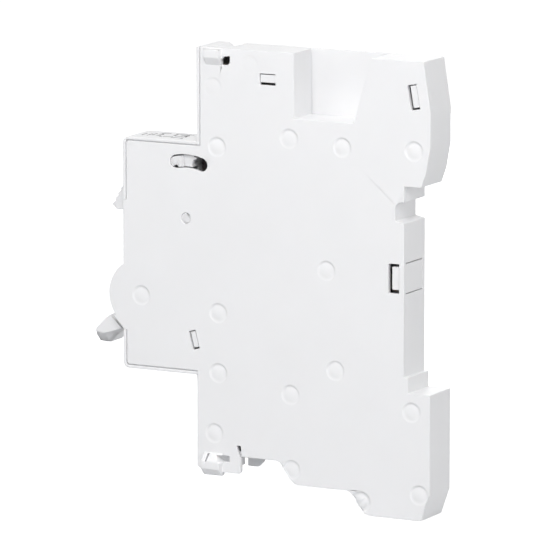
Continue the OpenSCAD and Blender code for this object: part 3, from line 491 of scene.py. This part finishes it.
width_axis = 0
depth_axis = 1
height_axis = 2
steel = drawn_metal(
    "drawn_steel", "#B4B6B9", "#A3A6AA", rough=0.3, streak_mm=0.15, along=width_axis)
zinc = drawn_metal(
    "zinc_plated_steel", "#BFC3C8", "#ABB0B6", rough=0.36, streak_mm=0.25, along=depth_axis)
brass = drawn_metal(
    "stamped_brass", "#C9A45C", "#B58E48", rough=0.32, streak_mm=0.2, along=height_axis)
bronze = drawn_metal(
    "rolled_bronze", "#C08A5A", "#A9764A", rough=0.3, streak_mm=0.15, along=depth_axis)
silver = drawn_metal(
    "silver_alloy", "#D6D5D0", "#C4C3BE", rough=0.28, streak_mm=0.2, along=height_axis)
metal_of = {
    "handle_pin": steel, "blade_pin": steel, "contact_blade": bronze,
    "moving_contact": silver, "closing_contact": silver, "opening_contact": silver,
    "common_bar": brass, "closing_bar": brass, "opening_bar": brass,
}
for terminal in (1, 2, 3):
    metal_of["terminal_screw_%d" % terminal] = zinc
    metal_of["terminal_clamp_%d" % terminal] = zinc
for node, metal in metal_of.items():
    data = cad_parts[node].data
    data.materials.clear()
    data.materials.append(metal)

# Springs and screw threads
# The springs are wound from drawn steel wire. Two of them stand on seats of the
# case and shorten when the button or the contact blade presses on them. The
# threads of the terminal screws are rolled, with a pitch of 0.5 mm.


def winding(name, material):
    """A node tree that winds a wire: coil radius, wire radius, rise, turns and sides of the wire."""
    tree = bpy.data.node_groups.new(name, "GeometryNodeTree")
    tree.interface.new_socket("Wound", in_out="OUTPUT", socket_type="NodeSocketGeometry")
    for label in ("Coil radius", "Wire radius", "Rise", "Turns"):
        tree.interface.new_socket(label, in_out="INPUT", socket_type="NodeSocketFloat")
    tree.interface.new_socket("Wire sides", in_out="INPUT", socket_type="NodeSocketInt")
    sizes = tree.nodes.new("NodeGroupInput").outputs
    path = add(tree, "GeometryNodeCurveSpiral", inputs={
        "Resolution": 40, "Rotations": sizes["Turns"], "Start Radius": sizes["Coil radius"],
        "End Radius": sizes["Coil radius"], "Height": sizes["Rise"]})
    section = add(tree, "GeometryNodeCurvePrimitiveCircle", inputs={
        "Resolution": sizes["Wire sides"], "Radius": sizes["Wire radius"]})
    wire = add(tree, "GeometryNodeCurveToMesh", inputs={
        "Curve": path.outputs["Curve"], "Profile Curve": section.outputs["Curve"], "Fill Caps": True})
    real = add(tree, "GeometryNodeRealizeInstances", inputs={"Geometry": wire.outputs["Mesh"]})
    dressed = add(tree, "GeometryNodeSetMaterial", inputs={
        "Geometry": real.outputs["Geometry"], "Material": material})
    result = tree.nodes.new("NodeGroupOutput")
    tree.links.new(dressed.outputs["Geometry"], result.inputs["Wound"])
    return tree


def wind(name, tree, sizes, place):
    """A plain mesh piece from the tree, with its place in the mesh."""
    piece = bpy.data.objects.new(name, bpy.data.meshes.new(name))
    bpy.context.scene.collection.objects.link(piece)
    coil = piece.modifiers.new("winding", "NODES")
    coil.node_group = tree
    for item in tree.interface.items_tree:
        if item.in_out == "INPUT":
            coil[item.identifier] = sizes[item.name]
    made = bpy.data.meshes.new_from_object(piece.evaluated_get(bpy.context.evaluated_depsgraph_get()))
    piece.modifiers.clear()
    made.transform(place)
    piece.data = made
    return piece


low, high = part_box("handle_spring")
wire_radius = 0.18 * mm
spring_sizes = {
    "Coil radius": (high.y - low.y) / 2 - wire_radius, "Wire radius": wire_radius,
    "Rise": high.x - low.x - 2 * wire_radius, "Turns": 4.0, "Wire sides": 14}
spring_start = Vector((low.x + wire_radius, (low.y + high.y) / 2, (low.z + high.z) / 2))
onto_pin = Matrix.Translation(spring_start) @ Matrix.Rotation(math.radians(90), 4, "Y")
spring = wind("handle_spring_wire", winding("torsion_spring", steel), spring_sizes, onto_pin)
finish_piece(spring, "housing", steel, "handle_spring")

wire_angle = math.radians(40)


def pressed_spring(node):
    """A smooth-shaded copy of a CAD node's spring in drawn steel, which stands in for the node."""
    spring = copy_of(node)
    spring.data.polygons.foreach_set("use_smooth", [True] * len(spring.data.polygons))
    spring.data.set_sharp_from_angle(angle=wire_angle)
    finish_piece(spring, "housing", steel, node)
    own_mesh(spring)


pressed_spring("test_spring")
# The blade turns down onto its spring, most over the spring's front edge
pressed_spring("contact_spring")

thread_tree = winding("rolled_thread", zinc)
thread_pitch = 0.5 * mm
ridge_radius = 0.09 * mm
head_length = 1.8 * mm
tip_length = 0.36 * mm
for terminal in (1, 2, 3):
    low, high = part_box("terminal_screw_%d" % terminal)
    # The shank's radius is a third of the head's width
    shank_radius = (high.x - low.x) / 3
    start = low.y + head_length + 2 * ridge_radius
    rise = high.y - tip_length - ridge_radius - start
    thread_sizes = {
        "Coil radius": shank_radius - ridge_radius / 2, "Wire radius": ridge_radius, "Rise": rise,
        "Turns": rise / thread_pitch, "Wire sides": 4}
    thread_start = Vector(((low.x + high.x) / 2, start, (low.z + high.z) / 2))
    onto_shank = Matrix.Translation(thread_start) @ Matrix.Rotation(math.radians(-90), 4, "X")
    thread = wind("screw_thread_%d" % terminal, thread_tree, thread_sizes, onto_shank)
    finish_piece(thread, "screw_%d" % terminal, zinc)

# Stage
# A plain pale floor under the lowest foot, five soft lamps round the object, the
# strongest above the side that the photo shows, an even pale surround, and the
# camera of the photo.
floor_half = 4.0
floor_gap = 0.2
floor_z = cad_box[0].z - floor_gap * mm
floor_corners = [(x * floor_half, y * floor_half, floor_z) for x, y in ((-1, -1), (1, -1), (1, 1), (-1, 1))]
floor_data = bpy.data.meshes.new("floor")
floor_data.from_pydata(floor_corners, [], [(0, 1, 2, 3)])
floor = bpy.data.objects.new("floor", floor_data)
bpy.context.scene.collection.objects.link(floor)


def background_rays(tree):
    """1 for what the camera sees, directly or mirrored in metal, and 0 for what lights the object."""
    rays = add(tree, "ShaderNodeLightPath").outputs
    mirrored = add(tree, "ShaderNodeMath", {"operation": "MAXIMUM"}, {
        0: rays["Is Glossy Ray"], 1: rays["Is Transmission Ray"]})
    both = add(tree, "ShaderNodeMath", {"operation": "MAXIMUM"}, {
        0: rays["Is Camera Ray"], 1: mirrored.outputs[0]})
    return both.outputs[0]


# Matt paper keeps the shadow. Its glow reaches only the camera and what mirrors
# it, and lifts the paper towards the photo's white.
floor_glow = 0.88
paper = bpy.data.materials.new("white_paper_floor")
paper.use_nodes = True
paper_tree = paper.node_tree
paper_tree.nodes.clear()
matt = add(paper_tree, "ShaderNodeBsdfDiffuse", inputs={"Color": linear("#C9CACC")})
lift = add(paper_tree, "ShaderNodeMath", {"operation": "MULTIPLY"}, {
    0: background_rays(paper_tree), 1: floor_glow})
glow = add(paper_tree, "ShaderNodeEmission", inputs={"Strength": lift.outputs[0]})
lit = add(paper_tree, "ShaderNodeAddShader", inputs={0: matt.outputs[0], 1: glow.outputs[0]})
add(paper_tree, "ShaderNodeOutputMaterial", inputs={"Surface": lit.outputs[0]})
floor_data.materials.append(paper)

# The surround is white to the eye and lights the object at about a quarter of that
surround_light = 0.257
world = bpy.data.worlds.new("studio")
bpy.context.scene.world = world
world.use_nodes = True
sky_tree = world.node_tree
sky_tree.nodes.clear()
level = add(sky_tree, "ShaderNodeMapRange", inputs={
    "Value": background_rays(sky_tree), "To Min": surround_light, "To Max": 1.0})
sky = add(sky_tree, "ShaderNodeBackground", inputs={
    "Color": (1.0, 1.0, 1.0, 1.0), "Strength": level.outputs["Result"]})
add(sky_tree, "ShaderNodeOutputWorld", inputs={"Surface": sky.outputs["Background"]})

# Each lamp: the way to it from the middle of the object, distance, width and power
middle = Vector((0, -0.0295, -0.0016))
lamps = [
    ("key_softbox", (0.71, 0.28, 0.65), 0.50, 0.25, 1.39),
    ("front_softbox", (0.78, -0.50, 0.45), 0.45, 0.25, 0.32),
    ("rear_softbox", (0.25, 0.95, 0.20), 0.60, 0.40, 0.98),
    ("top_softbox", (0.15, -0.10, 1.00), 0.50, 0.30, 0.46),
    ("far_softbox", (-1.00, -0.15, 0.08), 0.50, 0.30, 1.00),
]
for name, way, distance, width, power in lamps:
    light = bpy.data.lights.new(name, "AREA")
    light.shape = "SQUARE"
    light.size = width
    light.energy = power
    lamp = bpy.data.objects.new(name, light)
    bpy.context.scene.collection.objects.link(lamp)
    spot = middle + Vector(way).normalized() * distance
    lamp.location = spot
    lamp.rotation_mode = "QUATERNION"
    lamp.rotation_quaternion = (middle - spot).to_track_quat("-Z", "Y")

# The camera as fitted to the photo: its way and distance from the middle, and its lens
camera_way = Vector((0.8730, 0.4569, 0.1707))
camera_distance = 1.106
camera_data = bpy.data.cameras.new("photo_camera")
camera_data.sensor_fit = "HORIZONTAL"
camera_data.sensor_width = 36
camera_data.lens = 381.2
camera_data.clip_start = 0.05
camera_data.clip_end = 50
camera = bpy.data.objects.new("photo_camera", camera_data)
bpy.context.scene.collection.objects.link(camera)
camera.location = middle + camera_way * camera_distance
camera.rotation_mode = "QUATERNION"
camera.rotation_quaternion = (-camera_way).to_track_quat("-Z", "Y")
bpy.context.scene.camera = camera
bpy.context.scene.view_settings.view_transform = "Standard"
